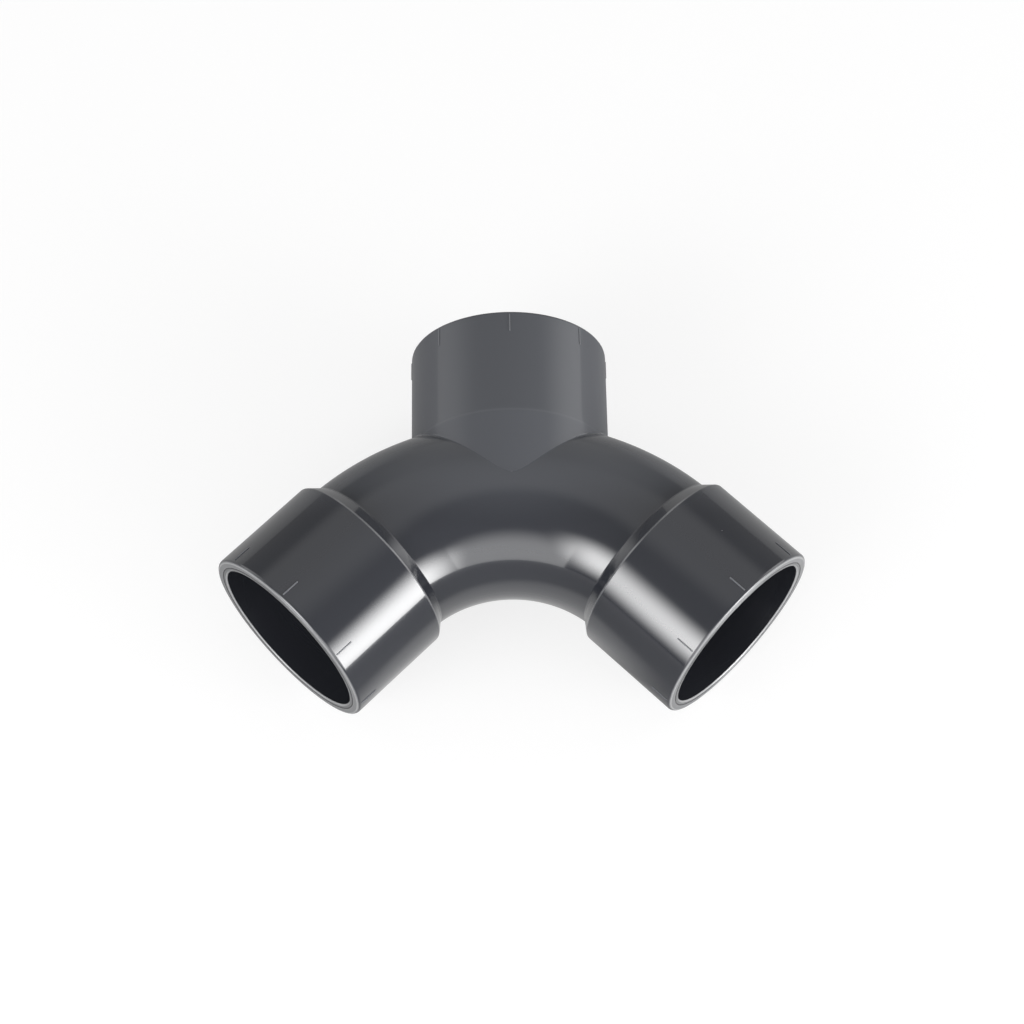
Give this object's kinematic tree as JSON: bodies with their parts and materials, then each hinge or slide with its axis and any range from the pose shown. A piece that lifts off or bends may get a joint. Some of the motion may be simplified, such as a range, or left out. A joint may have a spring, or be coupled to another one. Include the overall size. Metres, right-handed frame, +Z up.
{
  "type": "swept wye pipe fitting",
  "caption": "Swept wye for solvent-welded pressure pipe: a smooth bend with a socket at each end and a straight socket on its heel.",
  "frame": {"origin": "the point where the three socket axes meet, which lies inside the branch socket", "axes": "+Y along the branch axis out of its mouth, +X to the right leg's side, +Z up, square to the plane of the three axes"},
  "size_m": [0.2128, 0.1394, 0.0738],
  "materials": {
    "upvc_grey": "glossy moulded grey PVC-U"
  },
  "bodies": {
    "root": {"wye_body": "upvc_grey"}
  },
  "joints": []
}
